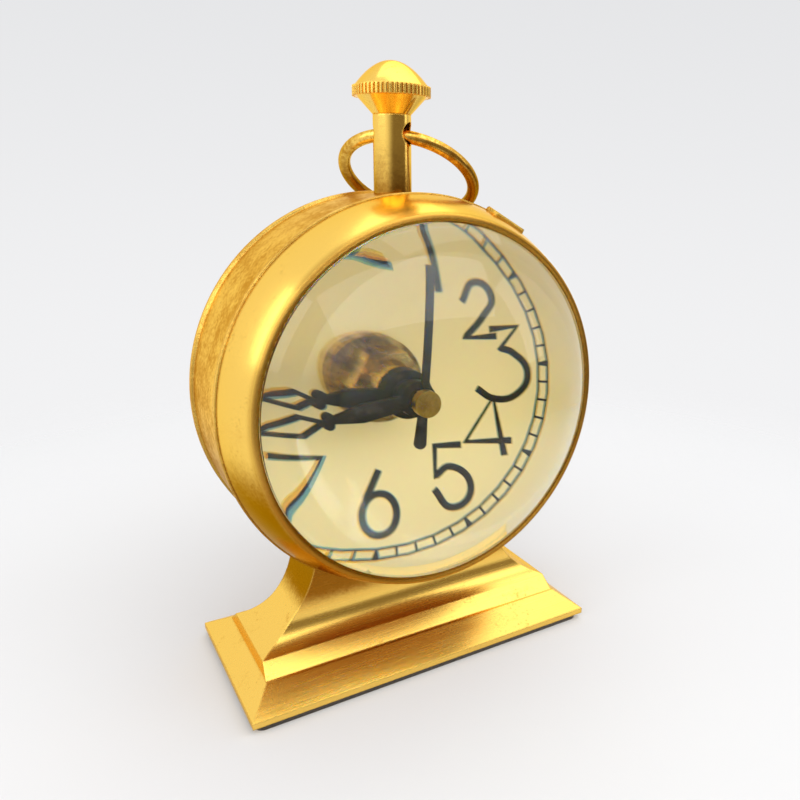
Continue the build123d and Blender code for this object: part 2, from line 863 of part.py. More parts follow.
# Places of the arbors in the dial plane
setting_distance = hour_module * (cannon_teeth + minute_wheel_teeth) / 2
pinion_module = 2 * setting_distance / (hour_pinion_teeth + hour_wheel_teeth)
setting_at = polar(setting_distance, setting_bearing)
third_distance = centre_module * (centre_teeth + third_pinion_teeth) / 2
third_module = 2 * third_distance / (third_teeth + second_pinion_teeth)
third_at = polar(third_distance, third_bearing)
intermediate_distance = second_module * (second_teeth + intermediate_pinion_teeth) / 2
intermediate_at = polar(intermediate_distance, intermediate_bearing)
rotor_distance = rotor_module * (intermediate_teeth + rotor_pinion_teeth) / 2
rotor_step = polar(rotor_distance, rotor_bearing)
rotor_at = (intermediate_at[0] + rotor_step[0], intermediate_at[1] + rotor_step[1])
arbor_hole = train_arbor_radius + running_gap

# Depths of the plate between the setting gears and the going train, and of the stator
mid_plate_front = cannon_back + running_gap
mid_plate_back = mid_plate_front + mid_plate_thickness
mid_plate_middle = (mid_plate_bottom + mid_plate_top) / 2
post_x = mid_plate_width / 2 - 2 * post_radius
post_places = [
    (-post_x, mid_plate_bottom + 2 * post_radius),
    (post_x, mid_plate_bottom + 2 * post_radius),
    (-post_x, mid_plate_top - 2 * post_radius),
    (post_x, mid_plate_top - 2 * post_radius),
]
lid_post_x = movement_size / 2 - lid_post_inset
lid_post_bottom = bay_wall_height + lid_post_radius
lid_post_places = [
    (-lid_post_x, lid_post_x),
    (lid_post_x, lid_post_x),
    (-lid_post_x, lid_post_bottom),
    (lid_post_x, lid_post_bottom),
]
stator_front = rotor_magnet_front + (rotor_magnet_length - stator_thickness) / 2
stator_back = stator_front + stator_thickness
coil_z = rotor_at[1] + coil_rise
stator_post_x = stator_half_length - stator_leg_width / 2
board_x = movement_inside - running_gap - board_width / 2
board_z = lid_post_bottom + lid_post_radius + running_gap + board_height / 2
board_post_z = board_height / 2 - 4 * post_radius
board_post_places = [(board_x, board_z - board_post_z), (board_x, board_z + board_post_z)]
stator_post_places = [(-stator_post_x, coil_z), (stator_post_x, coil_z)]
gear_bay_top = movement_size / 2

# Movement case: a tray with the gear bay above and the battery bay below
with BuildPart() as movement_front:
    plate(movement_front_face, movement_back_face, movement_size, movement_size, corner=movement_corner)
    plate(
        floor_inside,
        movement_back_face,
        2 * movement_inside,
        2 * movement_inside,
        corner=movement_corner - movement_wall,
        mode=Mode.SUBTRACT,
    )
    plate(floor_inside, movement_back_face, 2 * movement_inside, bay_wall, at=(0, bay_wall_height))
    for place in lid_post_places:
        disc(floor_inside, movement_back_face, lid_post_radius, place)
    for place in post_places:
        disc(floor_inside, mid_plate_front, post_radius, place)
    for place in board_post_places:
        disc(floor_inside, board_front, post_radius, place)
    for place in stator_post_places:
        disc(floor_inside, stator_front, post_radius, place)
    for place in lid_post_places:
        disc(
            movement_back_face - lid_screw_length,
            movement_back_face,
            lid_screw_radius + seat_gap,
            place,
            mode=Mode.SUBTRACT,
        )
    disc(movement_front_face, floor_inside, bush_radius + seat_gap, mode=Mode.SUBTRACT)
    disc(
        floor_inside - bush_flange_thickness - seat_gap,
        floor_inside,
        bush_flange_radius + seat_gap,
        mode=Mode.SUBTRACT,
    )
    disc(floor_inside - movement_floor / 2, floor_inside, arbor_hole, setting_at, mode=Mode.SUBTRACT)

# Lid over the gear bay, with blind bearings for the arbors
lid_bottom = bay_wall_height - bay_wall / 2
lid_height = gear_bay_top - lid_bottom
lid_middle = (gear_bay_top + lid_bottom) / 2
bearing_end = movement_back_face + lid_thickness / 2
with BuildPart() as movement_back:
    plate(
        movement_back_face,
        lid_back,
        movement_size,
        lid_height,
        at=(0, lid_middle),
        corner=movement_corner - movement_wall,
    )
    for place in ((0, 0), third_at, intermediate_at, rotor_at):
        disc(movement_back_face, bearing_end, arbor_hole, place, mode=Mode.SUBTRACT)
    disc(movement_back_face, lid_back, arbor_hole, setting_at, mode=Mode.SUBTRACT)
    for place in lid_post_places:
        disc(movement_back_face, lid_back, lid_screw_radius + seat_gap, place, mode=Mode.SUBTRACT)

with BuildPart() as movement_screws:
    for place in lid_post_places:
        disc(movement_back_face - lid_screw_length + seat_gap, lid_back, lid_screw_radius, place)
        disc(lid_back, lid_back + lid_screw_head_height, lid_screw_head, place)

# Plate that carries the front pivots of the going train
with BuildPart() as mid_plate:
    plate(
        mid_plate_front,
        mid_plate_back,
        mid_plate_width,
        mid_plate_top - mid_plate_bottom,
        at=(0, mid_plate_middle),
        corner=post_radius,
    )
    disc(mid_plate_front, mid_plate_back, minute_arbor_radius + running_gap, mode=Mode.SUBTRACT)
    for place in (setting_at, third_at, intermediate_at, rotor_at):
        disc(mid_plate_front, mid_plate_back, arbor_hole, place, mode=Mode.SUBTRACT)

# Threaded bush, rubber washer, brass washer and nut that clamp the movement to the dial
with BuildPart() as center_bush:
    disc(bush_front, floor_inside, bush_radius)
    disc(floor_inside - bush_flange_thickness, floor_inside, bush_flange_radius)
    disc(bush_front, floor_inside, hour_pipe_radius + running_gap, mode=Mode.SUBTRACT)

with BuildPart() as rubber_washer:
    disc(dial_back, movement_front_face, rubber_radius)
    disc(dial_back, movement_front_face, bush_radius + seat_gap, mode=Mode.SUBTRACT)

washer_front = dial_front - bush_washer_thickness
with BuildPart() as bush_washer:
    disc(washer_front, dial_front, bush_washer_radius)
    disc(washer_front, dial_front, bush_radius + seat_gap, mode=Mode.SUBTRACT)

bush_nut_front = washer_front - bush_nut_height
with BuildPart() as bush_nut:
    with BuildSketch(front_plane(washer_front)):
        RegularPolygon(bush_nut_flats / 2, 6, major_radius=False)
    extrude(amount=bush_nut_height)
    disc(bush_nut_front, washer_front, bush_radius + seat_gap, mode=Mode.SUBTRACT)

# Hour wheel with its pipe, cannon with the minute arbor, and the second arbor inside it
hour_wheel_front = hour_wheel_back - hour_wheel_thickness
cannon_front = cannon_back - cannon_thickness
centre_front = centre_back - centre_thickness
third_front = third_back - third_thickness
second_front = second_back - second_thickness
intermediate_front = intermediate_back - intermediate_thickness
hour_bore = minute_arbor_radius + running_gap
minute_bore = second_arbor_radius + running_gap
with BuildPart() as hour_wheel:
    gear(
        hour_wheel_front,
        hour_wheel_back,
        hour_wheel_teeth,
        pinion_module,
        setting_bearing,
    )
    disc(hour_pipe_front, hour_wheel_back, hour_pipe_radius)
    disc(hour_pipe_front, hour_wheel_back, hour_bore, mode=Mode.SUBTRACT)

with BuildPart() as minute_arbor:
    cannon_phase = meshing_phase(setting_bearing + 180, cannon_teeth)
    gear(cannon_front, cannon_back, cannon_teeth, hour_module, cannon_phase)
    disc(minute_arbor_front, centre_back + mesh_overhang, minute_arbor_radius)
    disc(minute_arbor_front, centre_back + mesh_overhang, minute_bore, mode=Mode.SUBTRACT)

with BuildPart() as second_arbor:
    disc(second_arbor_front, bearing_end - running_gap, second_arbor_radius)
    gear(
        third_front - mesh_overhang,
        third_back + mesh_overhang,
        second_pinion_teeth,
        third_module,
        meshing_phase(third_bearing + 180, second_pinion_teeth),
    )
    gear(second_front, second_back, second_teeth, second_module, intermediate_bearing)

# Minute wheel with its pinion and setting arbor, and the setting knob behind the lid
knob_front = lid_back + knob_gap
with BuildPart() as minute_wheel:
    setting_front = floor_inside - movement_floor / 2 + running_gap
    disc(setting_front, knob_front + knob_height, train_arbor_radius, setting_at)
    gear(
        cannon_front,
        cannon_back - running_gap,
        minute_wheel_teeth,
        hour_module,
        setting_bearing + 180,
        setting_at,
    )
    gear(
        hour_wheel_front - mesh_overhang,
        cannon_front,
        hour_pinion_teeth,
        pinion_module,
        meshing_phase(setting_bearing, hour_pinion_teeth),
        setting_at,
    )

with BuildPart() as set_knob:
    disc(knob_front, knob_front + knob_height, knob_radius, setting_at)
    with BuildSketch(front_plane(knob_front + knob_height)):
        with Locations(setting_at):
            with PolarLocations(knob_radius, knob_slot_count):
                Rectangle(knob_slot_width, knob_slot_width)
    extrude(amount=knob_height, mode=Mode.SUBTRACT)
    disc(knob_front, knob_front + knob_height, train_arbor_radius + seat_gap, setting_at, mode=Mode.SUBTRACT)

# Going train: centre wheel, third wheel, intermediate wheel and the motor's rotor
with BuildPart() as centre_wheel:
    gear(centre_front, centre_back, centre_teeth, centre_module, third_bearing)
    disc(centre_front, centre_back, minute_arbor_radius + running_gap, mode=Mode.SUBTRACT)

with BuildPart() as third_wheel:
    disc(mid_plate_front, bearing_end - running_gap, train_arbor_radius, third_at)
    gear(
        centre_front - mesh_overhang / 2,
        centre_back + mesh_overhang,
        third_pinion_teeth,
        centre_module,
        meshing_phase(third_bearing, third_pinion_teeth),
        third_at,
    )
    gear(third_front, third_back, third_teeth, third_module, third_bearing + 180, third_at)

with BuildPart() as intermediate_wheel:
    disc(mid_plate_front, bearing_end - running_gap, train_arbor_radius, intermediate_at)
    gear(
        second_front - mesh_overhang,
        second_back + mesh_overhang,
        intermediate_pinion_teeth,
        second_module,
        meshing_phase(intermediate_bearing, intermediate_pinion_teeth),
        intermediate_at,
    )
    gear(
        intermediate_front,
        intermediate_back,
        intermediate_teeth,
        rotor_module,
        rotor_bearing,
        intermediate_at,
    )

with BuildPart() as rotor:
    disc(mid_plate_front, bearing_end - running_gap, train_arbor_radius, rotor_at)
    gear(
        intermediate_front - mesh_overhang,
        intermediate_back + mesh_overhang,
        rotor_pinion_teeth,
        rotor_module,
        meshing_phase(rotor_bearing, rotor_pinion_teeth),
        rotor_at,
    )
    disc(rotor_magnet_front, rotor_magnet_front + rotor_magnet_length, rotor_magnet_radius, rotor_at)

# Motor: a closed stator frame round the rotor, with the coil on its upper limb
stator_bottom = rotor_at[1] - stator_bar_height / 2
stator_top = coil_z + coil_core_height / 2
stator_middle = (stator_bottom + stator_top) / 2
window_bottom = stator_bottom + stator_bar_height
window_top = coil_z - coil_core_height / 2
with BuildPart() as stator:
    plate(
        stator_front,
        stator_back,
        2 * stator_half_length,
        stator_top - stator_bottom,
        at=(0, stator_middle),
        corner=post_radius / 2,
    )
    plate(
        stator_front,
        stator_back,
        2 * (stator_half_length - stator_leg_width),
        window_top - window_bottom,
        at=(0, (window_top + window_bottom) / 2),
        mode=Mode.SUBTRACT,
    )
    disc(stator_front, stator_back, rotor_magnet_radius + stator_hole_gap, rotor_at, mode=Mode.SUBTRACT)

stator_middle_y = (stator_front + stator_back) / 2
coil_start = (-coil_length / 2, stator_middle_y, hands_z + coil_z)
coil_plane = Plane(origin=coil_start, x_dir=(0, 1, 0), z_dir=(1, 0, 0))
with BuildPart() as drive_coil:
    with BuildSketch(coil_plane):
        Circle(coil_radius)
        Rectangle(
            stator_thickness + 2 * coil_core_gap,
            coil_core_height + 2 * coil_core_gap,
            mode=Mode.SUBTRACT,
        )
    extrude(amount=coil_length)

# Circuit board on its posts, with the quartz can lying on it
with BuildPart() as circuit_board:
    plate(board_front, board_front + board_thickness, board_width, board_height, at=(board_x, board_z))

quartz_y = board_front + board_thickness + quartz_radius + seat_gap
with BuildPart() as quartz_can:
    with BuildSketch(Plane(origin=(board_x, quartz_y, hands_z + board_z), x_dir=(1, 0, 0), z_dir=(0, 0, 1))):
        Circle(quartz_radius)
    extrude(amount=quartz_length)

# Battery cell between its two contacts
bay_bottom = -movement_inside
bay_top = bay_wall_height - bay_wall / 2
cell_z = (bay_bottom + bay_top) / 2
cell_y = floor_inside + cell_floor_gap + cell_radius
positive_x = movement_inside - contact_thickness
cell_end = positive_x - cell_nub_length - contact_thickness
cell_start = cell_end - cell_length
cell_plane = Plane(origin=(cell_start, cell_y, hands_z + cell_z), x_dir=(0, 1, 0), z_dir=(1, 0, 0))
with BuildPart() as battery_cell:
    with BuildSketch(cell_plane):
        Circle(cell_radius)
    extrude(amount=cell_length)
    with BuildSketch(cell_plane.offset(cell_length)):
        Circle(cell_nub_radius)
    extrude(amount=cell_nub_length)

with BuildPart() as contact_positive:
    with BuildSketch(cell_plane.offset(positive_x - cell_start)):
        Rectangle(contact_depth, contact_height)
    extrude(amount=contact_thickness)
    with BuildSketch(cell_plane.offset(positive_x - cell_start - contact_thickness)):
        Circle(contact_boss_radius)
    extrude(amount=contact_thickness)

negative_x = -movement_inside + contact_thickness
spring_reach = cell_start - negative_x
with BuildPart() as contact_negative:
    with BuildSketch(cell_plane.offset(-movement_inside - cell_start)):
        Rectangle(contact_depth, contact_height)
    extrude(amount=contact_thickness)
    with BuildSketch(Plane(origin=(negative_x, cell_y, hands_z + cell_z), x_dir=(1, 0, 0), z_dir=(0, -1, 0))):
        Polygon(
            (0, contact_height / 2),
            (spring_reach, contact_spring_rise / 2),
            (spring_reach, -contact_spring_rise / 2),
            (0, -contact_height / 2),
            (0, contact_thickness - contact_height / 2),
            (spring_reach - contact_thickness, -contact_spring_rise / 2),
            (spring_reach - contact_thickness, contact_spring_rise / 2),
            (0, contact_height / 2 - contact_thickness),
            align=None,
        )
    extrude(amount=contact_depth / 4, both=True)


def spade_hand(front, thickness, angle, knob_reach, tip_reach, loop_width, hub_radius):
    """Add a pierced hand: a tapered body, a pair of knobs, an open loop and a pointed tip."""
    loop_start = knob_reach + hand_knob_radius
    loop_end = tip_reach - (tip_reach - loop_start) * hand_tip_share
    loop_wide = loop_start + (loop_end - loop_start) * hand_loop_share
    body_wide = hub_radius + (knob_reach - hub_radius) * hand_belly_share
    with BuildSketch(hand_plane(front + thickness, angle)) as outline:
        with BuildLine():
            Polyline(
                (0, 0),
                (hand_root_width / 2, 0),
                (hand_body_width / 2, body_wide),
                (hand_loop_strip / 2, knob_reach + hand_knob_radius / 2),
                (hand_loop_strip / 2, loop_start),
                (loop_width / 2, loop_wide),
                (hand_loop_strip / 2, loop_end),
                (0, tip_reach),
            )
            mirror(about=Plane.YZ)
        make_face()
        with Locations((-hand_knob_radius, knob_reach), (hand_knob_radius, knob_reach)):
            Circle(hand_knob_radius)
        with BuildLine():
            Polyline(
                (0, loop_start + hand_loop_strip),
                (loop_width / 2 - hand_loop_strip, loop_wide),
                (0, loop_end - hand_loop_strip),
            )
            mirror(about=Plane.YZ)
        make_face(mode=Mode.SUBTRACT)
    extrude(outline.sketch, amount=thickness)


# Hands and the cap on the second arbor
with BuildPart() as hour_hand:
    spade_hand(
        hour_hand_front,
        hour_hand_thickness,
        hour_angle,
        hour_knob_reach,
        hour_tip_reach,
        hour_loop_width,
        hour_hub_radius,
    )
    hour_hub_back = hour_hand_front + hour_hub_height
    disc(hour_hand_front, hour_hub_back, hour_hub_radius)
    disc(hour_hand_front, hour_hub_back, hour_pipe_radius + seat_gap, mode=Mode.SUBTRACT)

with BuildPart() as minute_hand:
    spade_hand(
        minute_hand_front,
        minute_hand_thickness,
        minute_angle,
        minute_knob_reach,
        minute_tip_reach,
        minute_loop_width,
        minute_hub_radius,
    )
    minute_hub_back = minute_hand_front + minute_hub_height
    disc(minute_hand_front, minute_hub_back, minute_hub_radius)
    disc(minute_hand_front, minute_hub_back, minute_arbor_radius + seat_gap, mode=Mode.SUBTRACT)

with BuildPart() as second_hand:
    with BuildSketch(hand_plane(second_hand_front + second_hand_thickness, second_angle)):
        Polygon(
            (-second_tip_width / 2, second_tip_reach),
            (-second_tip_width / 2, 0),
            (-second_tail_width / 2, second_tail_width / 2 - second_tail_reach),
            (second_tail_width / 2, second_tail_width / 2 - second_tail_reach),
            (second_tip_width / 2, 0),
            (second_tip_width / 2, second_tip_reach),
            align=None,
        )
        with Locations((0, second_tail_width / 2 - second_tail_reach)):
            Circle(second_tail_width / 2)
    extrude(amount=second_hand_thickness)
    disc(second_hand_front, second_hand_front + second_hand_thickness, second_hub_radius)
    disc(
        second_hand_front,
        second_hand_front + second_hand_thickness,
        second_arbor_radius + seat_gap,
        mode=Mode.SUBTRACT,
    )

cap_back = second_hand_front - seat_gap
with BuildPart() as hand_cap:
    disc(cap_back - cap_height, cap_back, cap_radius)
    disc(second_arbor_front - seat_gap, cap_back, second_arbor_radius + seat_gap, mode=Mode.SUBTRACT)

# One file for each piece
pieces = {
    "base_pad": base_pad,
    "base_pedestal": base_pedestal,
    "base_screws": base_screws,
    "case_band": case_band,
    "dial_ring": dial_ring,
    "dial_plate": dial_plate,
    "dial_screws": dial_screws,
    "back_cover": back_cover,
    "bezel_ring": bezel_ring,
    "lens": lens,
    "lens_ring": lens_ring,
    "hinge_case_leaf": hinge_case_leaf,
    "hinge_bezel_leaf": hinge_bezel_leaf,
    "hinge_pin": hinge_pin,
    "pendant_stem": pendant_stem,
    "stem_screw": stem_screw,
    "crown_stud": crown_stud,
    "crown": crown,
    "bow_ring": bow_ring,
    "movement_front": movement_front,
    "movement_back": movement_back,
    "movement_screws": movement_screws,
    "mid_plate": mid_plate,
    "center_bush": center_bush,
    "rubber_washer": rubber_washer,
    "bush_washer": bush_washer,
    "bush_nut": bush_nut,
    "hour_wheel": hour_wheel,
    "hour_hand": hour_hand,
    "minute_arbor": minute_arbor,
    "minute_hand": minute_hand,
    "second_arbor": second_arbor,
    "second_hand": second_hand,
    "hand_cap": hand_cap,
    "minute_wheel": minute_wheel,
    "set_knob": set_knob,
    "centre_wheel": centre_wheel,
    "third_wheel": third_wheel,
    "intermediate_wheel": intermediate_wheel,
    "rotor": rotor,
    "stator": stator,
    "drive_coil": drive_coil,
    "circuit_board": circuit_board,
    "quartz_can": quartz_can,
    "battery_cell": battery_cell,
    "contact_positive": contact_positive,
    "contact_negative": contact_negative,
}
os.makedirs("parts", exist_ok=True)
for name, piece in pieces.items():
    piece.part.label = name
    export_step(piece.part, f"parts/{name}.step")
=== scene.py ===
import math

import bpy
from mathutils import Matrix, Vector


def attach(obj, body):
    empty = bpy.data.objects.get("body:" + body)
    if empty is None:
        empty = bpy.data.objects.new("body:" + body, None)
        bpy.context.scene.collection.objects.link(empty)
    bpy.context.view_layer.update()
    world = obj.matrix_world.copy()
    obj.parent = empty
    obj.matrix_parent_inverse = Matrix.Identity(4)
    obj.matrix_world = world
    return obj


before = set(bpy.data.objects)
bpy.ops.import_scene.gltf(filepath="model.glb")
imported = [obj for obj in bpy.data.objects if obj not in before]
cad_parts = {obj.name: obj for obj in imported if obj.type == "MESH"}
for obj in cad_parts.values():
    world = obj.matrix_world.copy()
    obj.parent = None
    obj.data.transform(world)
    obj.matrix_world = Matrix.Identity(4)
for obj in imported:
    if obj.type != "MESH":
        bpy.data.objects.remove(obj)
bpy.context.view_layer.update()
bpy.ops.object.select_all(action="DESELECT")


# Felt pad under the base: a sheet of dark brown wool felt, cut a little smaller than the
# pedestal's foot and glued on, so that the brass doesn't scratch the desk.
class Shade:
    """One output of a shader node. Sums and products of outputs add Math nodes to the tree."""

    def __init__(self, tree, socket=None):
        self.tree = tree
        self.socket = socket

    def feed(self, node, inputs):
        """Link or set the sockets of a node."""
        for key, value in inputs.items():
            if isinstance(value, Shade):
                self.tree.links.new(value.socket, node.inputs[key])
            else:
                node.inputs[key].default_value = value

    def node(self, kind, settings=None, inputs=None, output=0):
        """Add a node of one type with its settings and inputs, and give one of its outputs."""
        made = self.tree.nodes.new("ShaderNode" + kind)
        for name, value in (settings or {}).items():
            setattr(made, name, value)
        self.feed(made, inputs or {})
        return Shade(self.tree, made.outputs[output]) if made.outputs else made

    def math(self, operation, first, second):
        """One Math node on two values."""
        return self.node("Math", {"operation": operation}, {0: first, 1: second})

    def __add__(self, other):
        return self.math("ADD", self, other)

    def __radd__(self, other):
        return self.math("ADD", other, self)

    def __sub__(self, other):
        return self.math("SUBTRACT", self, other)

    def __rsub__(self, other):
        return self.math("SUBTRACT", other, self)

    def __mul__(self, other):
        return self.math("MULTIPLY", self, other)

    def __rmul__(self, other):
        return self.math("MULTIPLY", other, self)

    def noise(self, place, scale, detail, roughness):
        """Smooth noise over a place vector, about 0.5 on average."""
        return self.node(
            "TexNoise",
            {},
            {"Vector": place, "Scale": scale, "Detail": detail, "Roughness": roughness},
        )

    def step(self, low, high):
        """This value stretched so that low gives 0 and high gives 1, with smooth ends."""
        return self.node(
            "MapRange",
            {"interpolation_type": "SMOOTHSTEP"},
            {"Value": self, "From Min": low, "From Max": high},
        )

    def blend(self, first, second):
        """The first colour where this value is 0 and the second where it is 1."""
        return self.node(
            "Mix",
            {"data_type": "RGBA"},
            {"Factor": self, 6: first, 7: second},
            output=2,
        )

    def bump(self, strength, distance, normal=None):
        """A normal that is raised where this value is high, by a distance in metres."""
        inputs = {"Height": self, "Strength": strength, "Distance": distance}
        if normal is not None:
            inputs["Normal"] = normal
        return self.node("Bump", {}, inputs)


def new_finish(name):
    """A material with its Principled shader, an empty Shade, and the place on the piece."""
    material = bpy.data.materials.new(name)
    material.use_nodes = True
    shade = Shade(material.node_tree)
    shader = material.node_tree.nodes["Principled BSDF"]
    return material, shade, shader, shade.node("TexCoord", output="Object")


def dress(material, *nodes):
    """Put a material on CAD nodes."""
    for name in nodes:
        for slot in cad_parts[name].material_slots:
            slot.material = material


felt, shade, shader, place = new_finish("felt")
felt_dark = (0.012, 0.008, 0.006, 1.0)
felt_light = (0.06, 0.042, 0.03, 1.0)
fibre_scale = 2600.0
fibre_height = 0.0003
fibre = shade.noise(place, fibre_scale, 6.0, 0.7)
shade.feed(
    shader,
    {
        "Base Color": fibre.step(0.35, 0.75).blend(felt_dark, felt_light),
        "Roughness": 0.95,
        "Sheen Weight": 0.4,
        "Normal": fibre.bump(0.8, fibre_height),
    },
)
dress(felt, "base_pad")


# Pedestal: one brass casting, filed to mitred tiers and a coved neck, then polished with a
# cloth wheel along its length and left to age to a warm gold with cloudy patches.
drum_z = 0.0629
gold = (0.96, 0.62, 0.13, 1.0)
gold_edge = (1.0, 0.80, 0.42, 1.0)
old_gold = (0.58, 0.27, 0.030, 1.0)
umber_stain_and_shade = (0.34, 0.135, 0.010, 1.0)
brown = (0.16, 0.065, 0.010, 1.0)
blots_per_cloud = 4.5
speck_scale = 1500.0
scratch_height = 0.00006
filed_edge = 0.0005
lip_fade = 0.0012


def brass_finish(
    name, grain, cloud, rough, tarnish, unshaded_height, shaded_height, edge=filed_edge, lip=0.0
):
    """Aged brass: polishing lines along one way, cloudy patina, small pits and bright worn edges.
    Painted shade darkens it from one height, which stays bright, to another. Where a lip's radius
    round the drum's axis is given, painted shade makes it brown within that."""
    material, shade, shader, place = new_finish(name)
    lines_place = shade.node("Mapping", {}, {"Vector": place, "Scale": grain})
    lines = shade.noise(lines_place, 1.0, 3.0, 0.6)
    clouds = shade.noise(place, cloud, 5.0, 0.62)
    blots = shade.noise(place, cloud * blots_per_cloud, 4.0, 0.6)
    specks = shade.noise(place, speck_scale, 3.0, 0.6)
    height = shade.node("SeparateXYZ", {}, {0: place}, output="Z")
    # Painted shade: the colour darkens from the first height to the second.
    painted_shade = height.step(unshaded_height, shaded_height)
    soft_edge = shade.node("Bevel", {"samples": 4}, {"Radius": edge})
    flat = shade.node("NewGeometry", output="Normal")
    facing = shade.node(
        "VectorMath",
        {"operation": "DOT_PRODUCT"},
        {0: soft_edge, 1: flat},
        output="Value",
    )
    worn = (1.0 - facing).step(0.01, 0.12)
    stain = clouds * 0.6 + blots * 0.4 + (specks - 0.5) * 0.5
    patina = stain.step(0.62 - tarnish, 0.92 - tarnish)
    # Random stains and the painted shade together darken the brass to umber.
    stain_and_shade = (stain * 0.5 + painted_shade * 0.75).step(0.45, 1.0)
    pits = specks.step(0.70, 0.78) * clouds.step(0.45, 0.7)
    aged_and_shaded = stain_and_shade.blend(patina.blend(gold, old_gold), umber_stain_and_shade)
    # Painted shade: brown within the lip's radius round the drum's axis, beside the glass.
    if lip:
        from_axis = {"Vector": place, "Location": (0.0, 0.0, -drum_z), "Scale": (1.0, 0.0, 1.0)}
        round_axis = shade.node("Mapping", {}, from_axis)
        radius = shade.node("VectorMath", {"operation": "LENGTH"}, {0: round_axis}, output="Value")
        aged_and_shaded = (radius.step(lip, lip - lip_fade) * 0.8).blend(aged_and_shaded, umber_stain_and_shade)
    pitted = (pits * 0.7).blend(aged_and_shaded, brown)
    edged = (worn * 0.5).blend(pitted, gold)
    roughness = rough + patina * 0.16 + (lines - 0.5) * 0.12 - worn * 0.08
    scratches = (lines * 0.6 + specks * 0.4).bump(0.18, scratch_height, soft_edge)
    shade.feed(
        shader,
        {
            "Base Color": edged,
            "Metallic": 1.0,
            "Roughness": roughness,
            "Specular Tint": gold_edge,
            "Normal": scratches,
        },
    )
    return material


# Painted shade darkens the pedestal from 13 mm up, on its neck under the drum.
pedestal_brass = brass_finish(
    "pedestal_brass",
    grain=(60.0, 2400.0, 2400.0),
    cloud=55.0,
    rough=0.26,
    tarnish=0.05,
    unshaded_height=0.013,
    shaded_height=0.020,
)
dress(pedestal_brass, "base_pedestal")


# Drum: a brass band turned on a lathe, with a bead at each edge, on the pedestal's cradle. It is
# the dullest piece, handled and never polished, with the lathe's lines round it. Painted shade
# darkens it towards the bottom.
turned_edge = 0.0013
band_brass = brass_finish(
    "band_brass",
    grain=(220.0, 2600.0, 220.0),
    cloud=75.0,
    rough=0.28,
    tarnish=0.27,
    unshaded_height=0.080,
    shaded_height=0.036,
    edge=turned_edge,
)
dress(band_brass, "case_band", "hinge_case_leaf", "hinge_pin", "back_cover")


# Dial: a thin steel plate, sprayed cream and printed in black with plain numbers and a double
# minute line. It is held on a ledge in the band by three small screws.
cream, shade, shader, place = new_finish("cream_enamel")
pale_cream = (0.95, 0.79, 0.37, 1.0)
aged_and_shaded_cream = (0.68, 0.52, 0.20, 1.0)
mottle_scale = 45.0
spray_scale = 1800.0
spray_height = 0.00004
pale_height = drum_z - 0.018
shaded_dial_height = drum_z + 0.016
mottle = shade.noise(place, mottle_scale, 4.0, 0.5)
spray = shade.noise(place, spray_scale, 3.0, 0.6)
dial_height = shade.node("SeparateXYZ", {}, {0: place}, output="Z")
# Painted shade darkens the dial towards the top, under the bezel's rim, and random mottle adds to
# it.
shade_and_mottle = dial_height.step(pale_height, shaded_dial_height) * 0.9 + (mottle - 0.5) * 0.3
shade.feed(
    shader,
    {
        "Base Color": shade_and_mottle.blend(pale_cream, aged_and_shaded_cream),
        "Roughness": spray * 0.15 + 0.42,
        "Coat Weight": 0.1,
        "Normal": spray.bump(0.1, spray_height),
    },
)
dress(cream, "dial_plate")

ink, shade, shader, place = new_finish("dial_ink")
full_ink = (0.004, 0.004, 0.003, 1.0)
thin_ink = (0.012, 0.011, 0.009, 1.0)
ink_scale = 900.0
ink_height = 0.00003
coverage = shade.noise(place, ink_scale, 4.0, 0.6)
shade.feed(
    shader,
    {
        "Base Color": coverage.step(0.35, 0.8).blend(full_ink, thin_ink),
        "Roughness": coverage * 0.2 + 0.45,
        "Specular IOR Level": 0.2,
        "Normal": coverage.bump(0.1, ink_height),
    },
)

dial_face = -0.0030
print_x = -0.0006
print_z = drum_z - 0.00085
ink_half = 0.00001
ink_raise = ink_half * 0.6
STRAIGHT = "VECTOR"
ROUND = "AUTO"


def printed(name, strokes, half_width):
    """Lay pen strokes on the dial, in millimetres from its centre, as a thin skin of ink."""
    bpy.ops.curve.primitive_bezier_curve_add(location=(0.0, 0.0, 0.0))
    piece = bpy.context.object
    piece.name = name
    pen = piece.data
    pen.splines.clear()
    pen.bevel_depth = half_width
    pen.bevel_resolution = 0
    pen.resolution_u = 10
    pen.use_fill_caps = True
    pen.dimensions = "3D"
    for points, closed in strokes:
        line = pen.splines.new("BEZIER")
        line.bezier_points.add(len(points) - 1)
        line.use_cyclic_u = closed
        for knot, (x, z, kind, width) in zip(line.bezier_points, points):
            knot.co = (x / 1000.0, 0.0, z / 1000.0)
            knot.handle_left_type = kind
            knot.handle_right_type = kind
            knot.radius = width
            knot.tilt = 0.0
    bpy.ops.object.convert(target="MESH")
    bpy.ops.object.mode_set(mode="EDIT")
    bpy.ops.mesh.select_all(action="SELECT")
    bpy.ops.transform.resize(value=(1.0, ink_half / half_width, 1.0))
    bpy.ops.transform.translate(value=(print_x, dial_face - ink_raise, print_z))
    bpy.ops.mesh.normals_make_consistent(inside=False)
    bpy.ops.object.mode_set(mode="OBJECT")
    piece.data.materials.clear()
    piece.data.materials.append(ink)
    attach(piece, "case")
    bpy.ops.object.select_all(action="DESELECT")


def pen_line(*points):
    """An open stroke: each point is x, z and whether the line bends or turns a corner there."""
    return [(x, z, kind, 1.0) for x, z, kind in points], False


def pen_ring(x, z, wide, high):
    """A closed oval stroke."""
    oval = ((x, z + high), (x + wide, z), (x, z - high), (x - wide, z))
    return [(a, b, ROUND, 1.0) for a, b in oval], True


